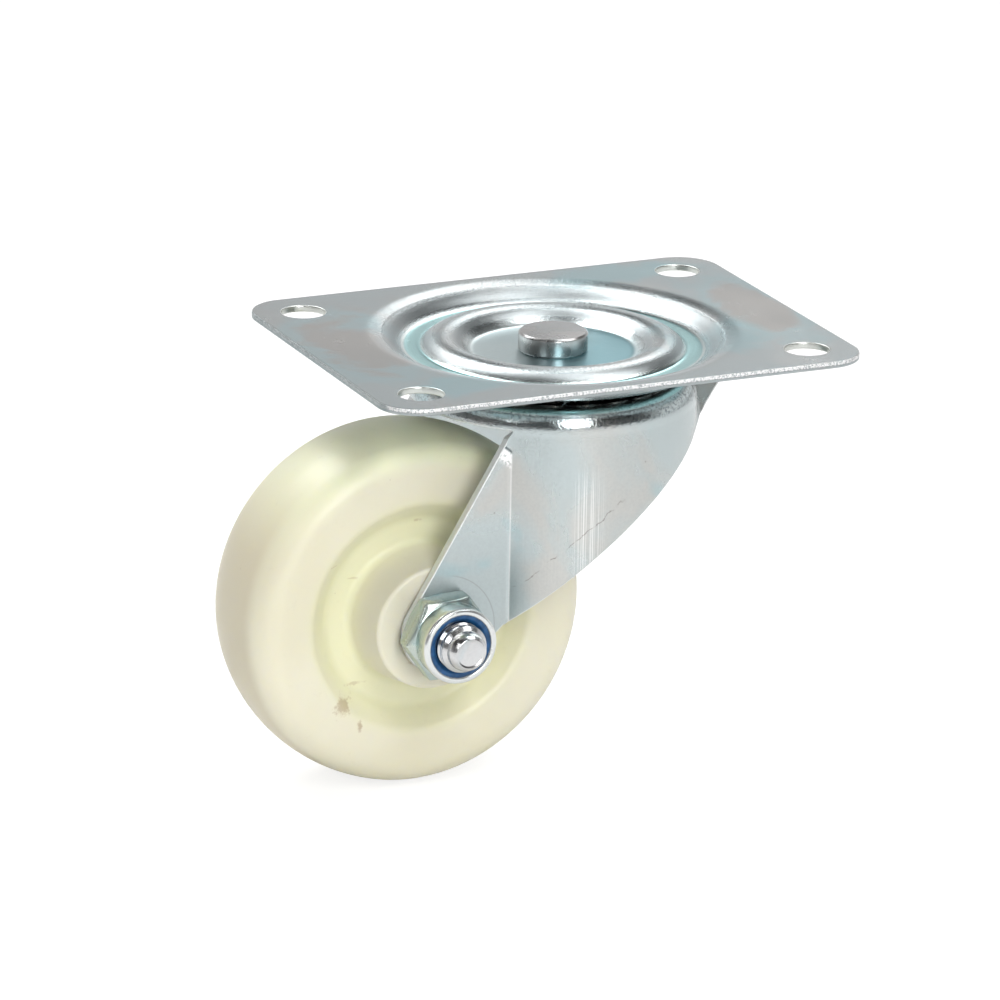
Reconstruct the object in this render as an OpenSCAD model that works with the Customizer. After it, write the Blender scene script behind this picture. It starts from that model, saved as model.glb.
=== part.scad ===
// Swivel castor: pressed top plate, pressed fork on a riveted kingpin, and a nylon wheel.
// Millimetres. The origin is on the kingpin axis, in the plate's top face, and +Z is up.
// X runs along the plate's length. The wheel trails towards -X and its axle lies along Y.

/* [Top plate] */
// Length of the top plate
plate_len = 104; // [96:1:140]
// Width of the top plate
plate_wid = 80; // [76:1:110]
// Sheet thickness of the top plate
plate_t = 2; // [1.6:0.1:2.4]
// Corner radius of the top plate
plate_corner_r = 8.5; // [4:0.5:14]
// Spacing of the bolt holes along the plate
hole_pitch_x = 84; // [78:0.5:90]
// Spacing of the bolt holes across the plate
hole_pitch_y = 60; // [56:0.5:64]
// Diameter of the bolt holes
hole_d = 9; // [6:0.1:11]

/* [Dished raceway] */
// Radius where the plate starts to slope down
dish_rim_r = 36.5; // [34:0.5:38]
// Outer radius of the flat ring at the foot of the slope
dish_ring_r = 29.3; // [28:0.1:31]
// Depth of the flat ring under the plate's top face
dish_depth = 3.3; // [2.6:0.1:3.8]
// Depth of the inner disc under the plate's top face
disc_depth = 4; // [3.4:0.1:4.2]
// Depth of the raised ring's crest under the plate's top face
crest_depth = 0.95; // [0.6:0.05:1.4]

/* [Balls] */
// Diameter of the upper balls
ball_d = 6; // [5:0.1:6.2]
// Pitch radius of the upper ball ring
upper_pitch_r = 22.5; // [21.5:0.1:23]
// Diameter of the lower balls
lower_ball_d = 5; // [4:0.1:5.2]
// Pitch radius of the lower ball ring
lower_pitch_r = 12.5; // [11.5:0.1:13]
// Space left between neighbouring balls
ball_gap = 0.38; // [0.1:0.02:1]
// Running clearance between a ball and its grooves
ball_clear = 0.2; // [0.1:0.05:0.3]

/* [Kingpin] */
// Diameter of the kingpin's shank
kingpin_d = 12; // [9:0.1:13]
// Diameter of the kingpin's turned head
kingpin_head_d = 14.1; // [13.5:0.1:18]
// Diameter of the riveted tail
kingpin_tail_d = 17; // [14:0.1:19]
// Height of the riveted tail
kingpin_tail_h = 2.4; // [1.6:0.1:3]
// Chamfer on the kingpin's head
kingpin_chamfer = 0.7; // [0.2:0.1:1.2]

/* [Fork] */
// Sheet thickness of the fork
fork_t = 2; // [1.6:0.1:2.2]
// Outer diameter of the fork's crown
crown_d = 58.7; // [57:0.1:61]
// Radius of the crown's rounded edge
crown_edge_r = 3.4; // [2.6:0.1:3.8]
// Height of the crown's short skirt over the wheel
skirt_h = 1.2; // [0.6:0.1:1.6]
// Distance of the crown's flat face under the centres of the upper balls
crown_drop = 1.75; // [1.5:0.05:2]
// Distance between the outer faces of the legs
fork_wid = 44.4; // [42:0.1:48]
// Radius of the leg's rounded end
leg_end_r = 8.7; // [8.5:0.1:11]
// Distance of the rounded end's centre ahead of the axle
leg_end_fore = 0.8; // [0:0.1:1]
// Distance of the rounded end's centre below the axle
leg_end_dip = 0.5; // [0:0.1:1]
// Radius of the long arc that trims the fork's rear edge
rear_arc_r = 330; // [200:10:900]
// Depth under the plate at which the rear edge crosses the back of the crown's wall
rear_edge_drop = 15.9; // [13.5:0.1:17]
// Reach of the rear lip from the kingpin axis
lip_reach = 38.5; // [35:0.5:42]
// Half width of the rear lip where it leaves the wall
lip_root_w = 16.9; // [14:0.1:19]
// Slope of the rear lip towards its tip, in degrees
lip_pitch = 8; // [4:1:12]
// Slope of the rear lip to each side, in degrees
lip_fall = 30; // [24:1:36]

/* [Wheel] */
// Diameter of the wheel
wheel_d = 74; // [70:0.5:78]
// Width of the wheel's tread
tread_w = 26.2; // [22:0.2:30]
// Radius of the crowned tread's arc
tread_arc_r = 33; // [28:1:60]
// Radius of the wheel's rounded shoulders
shoulder_r = 5.6; // [3:0.1:6]
// Diameter of the recess in each side
recess_d = 47.6; // [42:0.2:52]
// Depth of the recess under the wheel's side
recess_depth = 4.1; // [2:0.1:6]
// Width of the recess's sloping wall
recess_slope_w = 4; // [2:0.2:6]
// Diameter of the hub boss at its foot
boss_foot_d = 28.6; // [26:0.2:32]
// Diameter of the hub boss at its end
boss_end_d = 25.4; // [20:0.2:26]
// Distance of the axle behind the kingpin axis
axle_trail = 33.6; // [32:0.1:36]
// Distance of the axle under the plate's top face
axle_drop = 52.7; // [52:0.1:60]
// Gap between the hub and each leg
hub_gap = 0.3; // [0.2:0.05:0.5]

/* [Axle] */
// Diameter of the axle bolt
bolt_d = 9.9; // [8:0.1:10.2]
// Bolt end standing out of the lock nut
bolt_stand_out = 5; // [2:0.1:7]
// Chamfer on the bolt's end
bolt_chamfer = 1.2; // [0.4:0.1:1.6]
// Size across the flats of the bolt's head and the nut
across_flats = 16.2; // [15.8:0.1:17]
// Height of the bolt's head
bolt_head_h = 6.4; // [5:0.1:7.5]
// Outer diameter of the axle sleeve
sleeve_d = 14; // [13:0.1:16]
// Running clearance of the wheel on the sleeve
wheel_clear = 0.08; // [0.04:0.01:0.1]
// Running clearance of the crown on the kingpin
kingpin_clear = 0.08; // [0.04:0.01:0.1]
// Height of the whole lock nut
nut_h = 10; // [8:0.1:12]
// Height of the nut's hexagon
nut_hex_h = 5.2; // [4.5:0.1:6]
// Diameter of the nut's round collar
collar_d = 15.6; // [14.8:0.1:15.8]
// Diameter of the opening in the collar
collar_open_d = 12; // [11.4:0.1:13]
// Thickness of the collar's rolled lip
collar_lip_t = 0.5; // [0.3:0.05:0.8]
// Outer diameter of the nylon insert
insert_d = 13.4; // [13.2:0.1:14]

/* [Hidden] */
$fn = 96;
// Radial clearance of pressed and clamped pieces, so that they only just touch
fit_clear = 0.02;
// Overlap that joins solids of one piece
weld = 0.5;
// Reach of shapes that only cut, well past the part
far = 200;

plate_bottom = -plate_t;
ring_top = -dish_depth;
disc_top = -disc_depth;
disc_bottom = disc_top - plate_t;
upper_race_r = ball_d / 2 + ball_clear;
upper_ball_z = -crest_depth - plate_t - upper_race_r;
upper_step = 2 * asin((ball_d + ball_gap) / (2 * upper_pitch_r));
upper_count = floor(360 / upper_step);

crown_top = upper_ball_z - crown_drop;
crown_bottom = crown_top - fork_t;
crown_r = crown_d / 2;
wall_top = crown_top - crown_edge_r;
skirt_bottom = wall_top - skirt_h;
// Gap kept between the plate's inner disc and the ridge over the lower balls
ridge_gap = 0.8;
lower_race_r = lower_ball_d / 2 + ball_clear;
lower_ball_z = disc_bottom - ridge_gap - fork_t - lower_race_r;
lower_step = 2 * asin((lower_ball_d + ball_gap) / (2 * lower_pitch_r));
lower_count = floor(360 / lower_step);
// The lower race is a cup of its own sheet, flat this far under the lower balls' centres
cup_t = 2;
cup_drop = 1.5;
cup_top = lower_ball_z - cup_drop;
cup_bottom = cup_top - cup_t;
cup_r = lower_pitch_r + lower_race_r + cup_t - 0.3;

kingpin_r = kingpin_d / 2;
leg_outer = fork_wid / 2;
leg_inner = leg_outer - fork_t;
axle = [-axle_trail, -axle_drop];
// The legs leave the crown's wall where their outer faces meet it
crease_x = -sqrt(crown_r * crown_r - leg_outer * leg_outer);
leg_top = skirt_bottom;
leg_end = axle + [leg_end_fore, -leg_end_dip];
rear_edge_end = [crown_r, -rear_edge_drop];
// Height of the rear lip's ridge where it leaves the crown's rounded edge
lip_root_z = wall_top + 0.4 * crown_edge_r;

hub_half = leg_inner - hub_gap;
wheel_r = wheel_d / 2;
tread_half = tread_w / 2;
web_half = tread_half - recess_depth;
sleeve_r = sleeve_d / 2;
bolt_r = bolt_d / 2;
nut_face = leg_outer + nut_h;

// Centre of a circle of radius rb that goes through point q and touches the circle of
// radius ra about p from outside, on the side to the right of the way from p to q.
function touching_centre(p, ra, q, rb) =
    let (d = q - p, len = norm(d), u = d / len, a = ra + rb)
    let (x = (a * a - rb * rb + len * len) / (2 * len), h = sqrt(a * a - x * x))
    p + u * x + [u[1], -u[0]] * h;

// Point where the line from q touches the circle of radius r about p, on its left side
function tangent_point(p, r, q) =
    let (d = p - q, len = norm(d), turn = acos(r / len), back = atan2(-d[1], -d[0]))
    p + r * [cos(back + turn), sin(back + turn)];

rear_centre = touching_centre(leg_end, leg_end_r, rear_edge_end, rear_arc_r);
front_top = [crease_x + 0.6, leg_top];
front_foot = tangent_point(leg_end, leg_end_r, front_top);

function two_digits(i) = str(i < 10 ? "0" : "", i);
function upper_name(i) = str("upper_ball_", two_digits(i));
function lower_name(i) = str("lower_ball_", two_digits(i));

// A band of sheet that follows an arc, from angle a0 to angle a1, between two radii
module arc_band(centre, r_in, r_out, a0, a1) {
    far = 3 * r_out;
    mid = (a0 + a1) / 2;
    translate(centre)
        intersection() {
            difference() {
                circle(r = r_out);
                circle(r = r_in);
            }
            polygon([
                [0, 0],
                far * [cos(a0), sin(a0)],
                far * [cos(mid), sin(mid)],
                far * [cos(a1), sin(a1)]
            ]);
        }
}

// A rectangle given by its lowest and its highest corner
module box2(low, high) {
    translate(low) square(high - low);
}

// Side outline, in X and Z, of everything that the fork's rear edge leaves standing
module above_rear_edge() {
    difference() {
        box2([-far, -far], [far, far]);
        translate(rear_centre) circle(r = rear_arc_r, $fn = 1440);
    }
}

// Turns an outline in X and Z into a slab along Y, centred on the fork
module side_slab(width) {
    rotate([90, 0, 0]) linear_extrude(height = width, center = true) children();
}

// Plate

module plate_outline() {
    inset = [plate_len / 2 - plate_corner_r, plate_wid / 2 - plate_corner_r];
    difference() {
        union() {
            square([plate_len - 2 * plate_corner_r, plate_wid], center = true);
            square([plate_len, plate_wid - 2 * plate_corner_r], center = true);
            for (sx = [-1, 1], sy = [-1, 1])
                translate([sx * inset[0], sy * inset[1]]) circle(r = plate_corner_r);
        }
        circle(r = dish_rim_r + weld);
    }
}

module bolt_holes() {
    for (sx = [-1, 1], sy = [-1, 1])
        translate([sx * hole_pitch_x / 2, sy * hole_pitch_y / 2, plate_bottom - 1])
            cylinder(d = hole_d, h = plate_t + 2);
}

// The slope is two equal arcs that meet halfway and run out flat at both ends
module dish_slope() {
    run = dish_rim_r - dish_ring_r;
    arc_r = (run * run + dish_depth * dish_depth) / (4 * dish_depth);
    lean = atan2(arc_r - dish_depth / 2, run / 2);
    arc_band([dish_rim_r, -arc_r], arc_r - plate_t, arc_r, 90, 180 - lean);
    arc_band([dish_ring_r, arc_r - dish_depth], arc_r, arc_r + plate_t, -90, -lean);
    // A core inside the sheet joins the two arcs
    translate([dish_ring_r + run / 2, -dish_depth / 2])
        rotate(-lean)
            translate([plate_t / 4, -weld / 2]) square([plate_t / 2, weld]);
}

module raceway_section() {
    groove = [upper_pitch_r, upper_ball_z];
    ridge_r = upper_race_r + plate_t;
    difference() {
        union() {
            box2([dish_rim_r, plate_bottom], [dish_rim_r + 2 * weld, 0]);
            dish_slope();
            box2([upper_pitch_r + plate_t, ring_top - plate_t], [dish_ring_r, ring_top]);
            box2([kingpin_r + fit_clear, disc_bottom], [upper_pitch_r - plate_t, disc_top]);
            intersection() {
                translate(groove) circle(r = ridge_r);
                box2([0, disc_bottom], [upper_pitch_r, 0]);
            }
            intersection() {
                translate(groove) circle(r = ridge_r);
                box2([upper_pitch_r - weld, ring_top - plate_t], [dish_ring_r, 0]);
            }
        }
        translate(groove) circle(r = upper_race_r);
    }
}

module top_plate() {
    color("lightsteelblue")
    difference() {
        union() {
            translate([0, 0, plate_bottom]) linear_extrude(height = plate_t) plate_outline();
            rotate_extrude() raceway_section();
        }
        bolt_holes();
    }
}

// Kingpin and lower race

module kingpin() {
    head_r = kingpin_head_d / 2;
    tail_r = kingpin_tail_d / 2;
    tail_bottom = cup_bottom - kingpin_tail_h;
    dome_r = (tail_r * tail_r + kingpin_tail_h * kingpin_tail_h) / (2 * kingpin_tail_h);
    color("silver")
    rotate_extrude() {
        polygon([
            [0, disc_top],
            [head_r, disc_top],
            [head_r, -kingpin_chamfer],
            [head_r - kingpin_chamfer, 0],
            [0, 0]
        ]);
        box2([0, cup_bottom - 0.1], [kingpin_r, disc_top + 0.1]);
        intersection() {
            translate([0, tail_bottom + dome_r]) circle(r = dome_r, $fn = 180);
            box2([0, tail_bottom - 1], [tail_r + 1, cup_bottom]);
        }
    }
}

module lower_race() {
    groove = [lower_pitch_r, lower_ball_z];
    color("gray")
    rotate_extrude()
        difference() {
            union() {
                box2([kingpin_r + fit_clear, cup_bottom], [cup_r, cup_top]);
                intersection() {
                    translate(groove) circle(r = lower_race_r + cup_t);
                    box2([kingpin_r + 1, cup_bottom - 9], [cup_r, cup_top]);
                }
            }
            translate(groove) circle(r = lower_race_r);
        }
}

// Balls, one module for each ring

module upper_ball(i) {
    color("dimgray")
    rotate([0, 0, (i - 1) * 360 / upper_count])
        translate([upper_pitch_r, 0, upper_ball_z]) sphere(d = ball_d);
}

module lower_ball(i) {
    color("dimgray")
    rotate([0, 0, (i - 1) * 360 / lower_count])
        translate([lower_pitch_r, 0, lower_ball_z]) sphere(d = lower_ball_d);
}

// Fork

module crown_section() {
    upper_groove = [upper_pitch_r, upper_ball_z];
    lower_groove = [lower_pitch_r, lower_ball_z];
    edge = [crown_r - crown_edge_r, wall_top];
    difference() {
        union() {
            box2([kingpin_r + kingpin_clear, crown_bottom], [edge[0], crown_top]);
            arc_band(edge, crown_edge_r - fork_t, crown_edge_r, 0, 90);
            box2([crown_r - fork_t, skirt_bottom], [crown_r, wall_top]);
            intersection() {
                translate(upper_groove) circle(r = upper_race_r + fork_t);
                box2([0, upper_ball_z - 20], [crown_r - fork_t / 2, crown_top]);
            }
            intersection() {
                translate(lower_groove) circle(r = lower_race_r + fork_t);
                box2([0, crown_bottom], [upper_pitch_r, crown_top + 20]);
            }
        }
        translate(upper_groove) circle(r = upper_race_r);
        translate(lower_groove) circle(r = lower_race_r);
    }
}

// Half-round wall behind the wheel, from crease to crease
module rear_wall() {
    intersection() {
        difference() {
            translate([0, 0, -axle_drop - leg_end_r])
                cylinder(r = crown_r, h = axle_drop + leg_end_r + skirt_bottom + weld);
            translate([0, 0, -axle_drop - leg_end_r - 1])
                cylinder(r = crown_r - fork_t, h = axle_drop + leg_end_r);
        }
        side_slab(2 * crown_d)
            intersection() {
                above_rear_edge();
                polygon([
                    [crown_d, 0],
                    [front_top[0], 0],
                    front_top,
                    [crease_x, leg_top - 2],
                    [crease_x, -axle_drop - 2 * leg_end_r],
                    [crown_d, -axle_drop - 2 * leg_end_r]
                ]);
            }
    }
}

module leg_outline() {
    right = crease_x + 3 * fork_t;
    to_rear = (rear_centre - leg_end) / norm(rear_centre - leg_end);
    rear_foot = leg_end + leg_end_r * to_rear;
    difference() {
        polygon([
            front_top,
            front_foot,
            leg_end,
            rear_foot,
            [right, rear_foot[1]],
            [right, leg_top]
        ]);
        translate(rear_centre) circle(r = rear_arc_r, $fn = 1440);
    }
    translate(leg_end) circle(r = leg_end_r);
}

module leg(side) {
    difference() {
        translate([0, side * (leg_outer - fork_t / 2), 0]) side_slab(fork_t) leg_outline();
        translate([0, 0, -axle_drop - leg_end_r - 1])
            cylinder(r = crown_r - fork_t, h = axle_drop + leg_end_r);
    }
}

// Lip drawn out of the rear wall, a low roof that falls to both sides of its ridge
module lip_half() {
    intersection() {
        translate([crown_r, 0, lip_root_z])
            rotate([0, lip_pitch, 0])
                rotate([-lip_fall, 0, 0])
                    translate([-crown_r, -crown_r, -fork_t])
                        cube([2 * crown_d, 2 * crown_d, fork_t]);
        translate([0, 0, -far]) cube([crown_d, crown_d, far]);
    }
}

// Plan of the lip, a rounded point with hollow flanks
module lip_plan() {
    root_x = sqrt(crown_r * crown_r - lip_root_w * lip_root_w);
    waist_x = (root_x + lip_reach) / 2 - 1.3;
    waist_w = 0.54 * lip_root_w;
    tip_r = 2;
    difference() {
        union() {
            polygon([
                [0, 0],
                [root_x, -lip_root_w],
                [waist_x, -waist_w],
                [lip_reach - 1, -1.7],
                [lip_reach - 1, 1.7],
                [waist_x, waist_w],
                [root_x, lip_root_w]
            ]);
            translate([lip_reach - tip_r, 0]) circle(r = tip_r);
        }
        circle(r = crown_r - fork_t / 2);
    }
}

module rear_lip() {
    intersection() {
        for (side = [0, 1]) mirror([0, side, 0]) lip_half();
        translate([0, 0, -60]) linear_extrude(height = 60) lip_plan();
    }
}

module fork() {
    color("lightblue")
    difference() {
        union() {
            rotate_extrude() crown_section();
            rear_wall();
            for (side = [-1, 1]) leg(side);
            rear_lip();
        }
        translate([-axle_trail, 0, -axle_drop])
            rotate([90, 0, 0]) cylinder(r = bolt_r + 0.1, h = 2 * fork_wid, center = true);
    }
}

// Wheel

// One half of the wheel's section, in radius and distance from its middle plane
module wheel_half_section() {
    arc_x = wheel_r - tread_arc_r;
    turn_y = tread_half - shoulder_r;
    turn_x = arc_x + sqrt(pow(tread_arc_r - shoulder_r, 2) - turn_y * turn_y);
    turn_a = asin(turn_y / (tread_arc_r - shoulder_r));
    recess_r = recess_d / 2;
    bore_r = sleeve_r + wheel_clear;
    reach = 2 * tread_arc_r;
    polygon([
        [bore_r, 0],
        [turn_x, 0],
        [turn_x, tread_half],
        [recess_r, tread_half],
        [recess_r - recess_slope_w, web_half],
        [boss_foot_d / 2, web_half],
        [boss_end_d / 2, hub_half],
        [bore_r, hub_half]
    ]);
    translate([turn_x, turn_y]) circle(r = shoulder_r);
    intersection() {
        translate([arc_x, 0]) circle(r = tread_arc_r, $fn = 240);
        polygon([
            [turn_x - weld, 0],
            [turn_x - weld, turn_y],
            [arc_x + reach * cos(turn_a), reach * sin(turn_a)],
            [arc_x + reach, 0]
        ]);
    }
}

module wheel() {
    color("ivory")
    translate([-axle_trail, 0, -axle_drop])
        rotate([90, 0, 0])
            rotate_extrude($fn = 180) {
                wheel_half_section();
                mirror([0, 1]) wheel_half_section();
            }
}

// Axle

// Places a piece that is drawn along Z on the axle, with its +Z towards the lock nut
module on_axle() {
    translate([-axle_trail, 0, -axle_drop]) rotate([90, 0, 0]) children();
}

module hexagon(height) {
    cylinder(d = across_flats / cos(30), h = height, $fn = 6);
}

// Rounds the corners of a hexagon whose free face lies at the given height
module hexagon_trim(height) {
    flat_r = across_flats / 2;
    corner_r = flat_r / cos(30);
    slope = (corner_r - flat_r) * tan(30);
    rotate_extrude()
        polygon([
            [0, -1],
            [corner_r + 1, -1],
            [corner_r + 1, height - slope - tan(30)],
            [flat_r, height],
            [0, height]
        ]);
}

module axle_sleeve() {
    color("darkgray")
    on_axle()
        difference() {
            cylinder(r = sleeve_r, h = 2 * leg_inner, center = true);
            cylinder(r = bolt_r + 0.1, h = 3 * leg_inner, center = true);
        }
}

module axle_bolt() {
    color("gainsboro")
    on_axle() {
        rotate_extrude()
            polygon([
                [0, -leg_outer - 0.1],
                [bolt_r, -leg_outer - 0.1],
                [bolt_r, nut_face + bolt_stand_out - bolt_chamfer],
                [bolt_r - bolt_chamfer, nut_face + bolt_stand_out],
                [0, nut_face + bolt_stand_out]
            ]);
        translate([0, 0, -leg_outer])
            mirror([0, 0, 1])
                intersection() {
                    hexagon(bolt_head_h);
                    hexagon_trim(bolt_head_h);
                }
    }
}

module lock_nut() {
    collar_r = collar_d / 2;
    round_r = 1.2;
    insert_bottom = nut_hex_h - 0.4;
    color("powderblue")
    on_axle()
        translate([0, 0, leg_outer])
            difference() {
                union() {
                    intersection() {
                        hexagon(nut_hex_h);
                        hexagon_trim(nut_hex_h);
                    }
                    rotate_extrude() {
                        box2([0, nut_hex_h - weld], [collar_r, nut_h - round_r]);
                        box2([0, nut_hex_h - weld], [collar_r - round_r, nut_h]);
                        translate([collar_r - round_r, nut_h - round_r]) circle(r = round_r);
                    }
                }
                translate([0, 0, -1]) cylinder(r = bolt_r + fit_clear, h = nut_h + 2);
                translate([0, 0, insert_bottom])
                    cylinder(d = insert_d, h = nut_h - collar_lip_t - insert_bottom);
                translate([0, 0, insert_bottom]) cylinder(d = collar_open_d, h = nut_h);
            }
}

module nut_insert() {
    insert_bottom = nut_hex_h - 0.4;
    color("royalblue")
    on_axle()
        translate([0, 0, leg_outer + insert_bottom])
            difference() {
                cylinder(r = insert_d / 2 - fit_clear, h = nut_h - collar_lip_t - insert_bottom);
                translate([0, 0, -1]) cylinder(r = bolt_r + fit_clear, h = nut_h + 2);
            }
}

top_plate();
kingpin();
lower_race();
fork();
wheel();
axle_sleeve();
axle_bolt();
lock_nut();
nut_insert();
for (i = [1:upper_count]) upper_ball(i);
for (i = [1:lower_count]) lower_ball(i);
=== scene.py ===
import math

import bpy
import bmesh
import numpy as np
from mathutils import Matrix, Vector
from mathutils.geometry import delaunay_2d_cdt

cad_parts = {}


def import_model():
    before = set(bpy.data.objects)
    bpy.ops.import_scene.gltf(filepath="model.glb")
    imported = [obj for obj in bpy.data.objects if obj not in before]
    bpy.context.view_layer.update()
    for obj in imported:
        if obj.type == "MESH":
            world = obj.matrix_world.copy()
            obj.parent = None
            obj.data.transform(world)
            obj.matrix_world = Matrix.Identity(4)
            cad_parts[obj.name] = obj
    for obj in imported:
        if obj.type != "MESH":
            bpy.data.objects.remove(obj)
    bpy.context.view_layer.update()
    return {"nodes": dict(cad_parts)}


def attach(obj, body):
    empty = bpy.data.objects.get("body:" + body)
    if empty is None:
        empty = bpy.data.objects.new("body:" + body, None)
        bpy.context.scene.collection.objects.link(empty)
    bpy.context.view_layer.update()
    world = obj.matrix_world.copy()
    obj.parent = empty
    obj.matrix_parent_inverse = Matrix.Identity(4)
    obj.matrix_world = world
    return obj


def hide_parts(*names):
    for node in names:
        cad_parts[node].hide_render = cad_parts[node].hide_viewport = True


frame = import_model()

# All lengths below are in millimetres, and become metres when a mesh is made.
MM = 0.001
TURNS = 288

# Sizes that the solids have, repeated here because this script reads only the frame.
PLATE_LEN, PLATE_WID, PLATE_T, PLATE_CORNER = 104.0, 80.0, 2.0, 8.5
# The sheared rim shows thinner than the sheet, and thins between two radii
RIM_T, THIN_FROM, THIN_TO, EDGE_ROLL = 1.42, 33.0, 37.0, 0.30
HOLE_X, HOLE_Y, HOLE_R = 42.0, 30.0, 4.5
RIM_OUT, RING_R, RING_Z, DISC_Z = 38.2, 29.3, -3.3, -4.0
GROOVE_R, GROOVE_Z, RIDGE_R, DISC_R = 22.5, -6.15, 5.2, 16.9
KING_R, KING_HEAD_R, KING_TAIL_R, KING_TAIL_H, CUP_Z = 6.0, 7.05, 8.5, 2.4, -15.0
SHEET, CUT_ROUND, DOWN = 2.0, 0.26, np.array([0, 0, -1.0])
# The pressing stretches the crown's rounded edge downwards
EDGE_STRETCH = 1.26
CROWN_R, CROWN_Z, EDGE_R, WALL_Z, SKIRT_Z = 29.35, -7.9, 3.4, -11.3, -12.5
LEG_Y, AXLE_X, AXLE_Z = 22.2, -33.6, -52.7
END_X, END_Z, END_R = -32.8, -53.2, 8.7
TRIM_R, TRIM_END, FRONT_TOP = 330.0, (29.35, -15.9), (-18.6, -12.5)
WHEEL_R, TREAD_HALF, TREAD_ARC, SHOULDER = 37.0, 13.1, 33.0, 5.6
RECESS_R, RECESS_D, RECESS_SLOPE = 23.8, 4.1, 4.0
BOSS_FOOT, BOSS_END, HUB_HALF, BORE_R = 14.3, 12.7, 19.9, 7.08
BOLT_R, FLATS, HEX_H, NUT_H, COLLAR_R = 4.95, 16.2, 5.2, 10.0, 7.8
INSERT_R, OPEN_R, STAND_OUT, HEAD_H, THREAD_PITCH = 6.68, 6.0, 5.0, 6.4, 1.5
# Radius at which the hexagons' chamfers start
HEX_FACE, HEX_TURNS = FLATS / 2 - 0.35, 180


# ---------------------------------------------------------------- shapes

class Shape:
    """Points and faces of one piece, gathered before its mesh is made."""

    def __init__(self):
        self.points, self.faces = [], []

    def grid(self, rows, wrap=False, tag=0):
        base, n, m = len(self.points), len(rows), len(rows[0])
        for row in rows:
            self.points.extend(tuple(float(c) for c in p) for p in row)
        for i in range(n if wrap else n - 1):
            k = (i + 1) % n
            for j in range(m - 1):
                a, b = base + i * m + j, base + k * m + j
                self.faces.append(((a, b, b + 1, a + 1), tag))

    def flat(self, loops, height, turn=None):
        """Fills the region inside the first loop and outside the others, in one plane."""
        pts, edges = [], []
        for loop in loops:
            s = len(pts)
            pts += [Vector((p[0], p[1])) for p in loop]
            edges += [(s + i, s + (i + 1) % len(loop)) for i in range(len(loop))]
        out, _, tris, *_ = delaunay_2d_cdt(pts, edges, [], 0, 1e-6)
        base = len(self.points)
        for p in out:
            q = (p.x, p.y, height)
            self.points.append(turn(q) if turn else q)
        for t in tris:
            c = sum((out[i] for i in t), Vector((0, 0))) / 3
            if inside(c, loops[0]) and not any(inside(c, h) for h in loops[1:]):
                self.faces.append((tuple(base + i for i in t), 0))


def inside(p, loop):
    hit = False
    for i in range(len(loop)):
        (x0, y0), (x1, y1) = loop[i - 1][:2], loop[i][:2]
        if (y0 > p[1]) != (y1 > p[1]) and p[0] < (x1 - x0) * (p[1] - y0) / (y1 - y0) + x0:
            hit = not hit
    return hit


def rounded(path, closed=False, step=12):
    """A path whose corners (x, y, r) are turned into arcs of radius r."""
    out, n = [], len(path)
    for i, p in enumerate(path):
        r = p[2] if len(p) > 2 else 0
        if r == 0 or (not closed and i in (0, n - 1)):
            out.append(np.array(p[:2], float))
            continue
        c = np.array(p[:2], float)
        a = np.array(path[i - 1][:2], float) - c
        b = np.array(path[(i + 1) % n][:2], float) - c
        la, lb = np.linalg.norm(a), np.linalg.norm(b)
        a, b = a / la, b / lb
        half = math.acos(max(-1, min(1, a @ b))) / 2
        if half > math.radians(89.5):
            out.append(c)
            continue
        cut = min(r / math.tan(half), la * 0.499, lb * 0.499)
        r = cut * math.tan(half)
        mid = (a + b) / np.linalg.norm(a + b)
        o = c + mid * r / math.sin(half)
        t0, t1 = c + a * cut - o, c + b * cut - o
        a0 = math.atan2(t0[1], t0[0])
        d = (math.atan2(t1[1], t1[0]) - a0 + math.pi) % (2 * math.pi) - math.pi
        k = max(2, int(abs(math.degrees(d)) / step) + 1)
        out += [o + r * np.array([math.cos(a0 + d * j / k), math.sin(a0 + d * j / k)])
                for j in range(k + 1)]
    return out


def arc(cx, cy, r, a0, a1, n):
    t = np.radians(np.linspace(a0, a1, n + 1))
    return [np.array([cx + r * math.cos(a), cy + r * math.sin(a)]) for a in t]


def resample(path, count):
    """The same path with its points evenly spaced."""
    p = np.array(path, float)
    s = np.concatenate([[0], np.cumsum(np.linalg.norm(np.diff(p, axis=0), axis=1))])
    q = np.linspace(0, s[-1], count)
    return np.stack([np.interp(q, s, p[:, k]) for k in range(p.shape[1])], 1)


def eased(path, step, sigma):
    """Evenly spaced points on the path, with its corners eased as a press rounds them."""
    p = np.array(path, float)
    length = np.linalg.norm(np.diff(p, axis=0), axis=1).sum()
    q = resample(p, max(4, int(length / step)))
    w = max(1, int(3 * sigma / step))
    k = np.exp(-0.5 * (np.arange(-w, w + 1) * step / sigma) ** 2)
    k /= k.sum()
    head = 2 * q[0] - q[1:w + 1][::-1]
    tail = 2 * q[-1] - q[-w - 1:-1][::-1]
    full = np.vstack([head, q, tail])
    return np.stack([np.convolve(full[:, c], k, "valid") for c in range(2)], 1)


def offset(path, dist):
    """The path moved sideways, to its right, by dist."""
    p = np.array(path, float)
    d = np.gradient(p, axis=0)
    d /= np.linalg.norm(d, axis=1)[:, None]
    return p + dist * np.stack([d[:, 1], -d[:, 0]], 1)


def about_z(r, h, a):
    return (r * math.cos(a), r * math.sin(a), h)


def about_axle(r, h, a):
    return (AXLE_X + r * math.cos(a), -h, AXLE_Z + r * math.sin(a))


def lathe(shape, path, place, turns=TURNS, closed=False):
    """Turns a path of radius and height about an axis."""
    p = list(path) + ([path[0]] if closed else [])
    rows = [[place(max(q[0], 0.0), q[1], 2 * math.pi * i / turns) for q in p]
            for i in range(turns)]
    shape.grid(rows, wrap=True)


def put_in_scene(name, data):
    obj = bpy.data.objects.new(name, data)
    bpy.context.scene.collection.objects.link(obj)
    return obj


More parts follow.
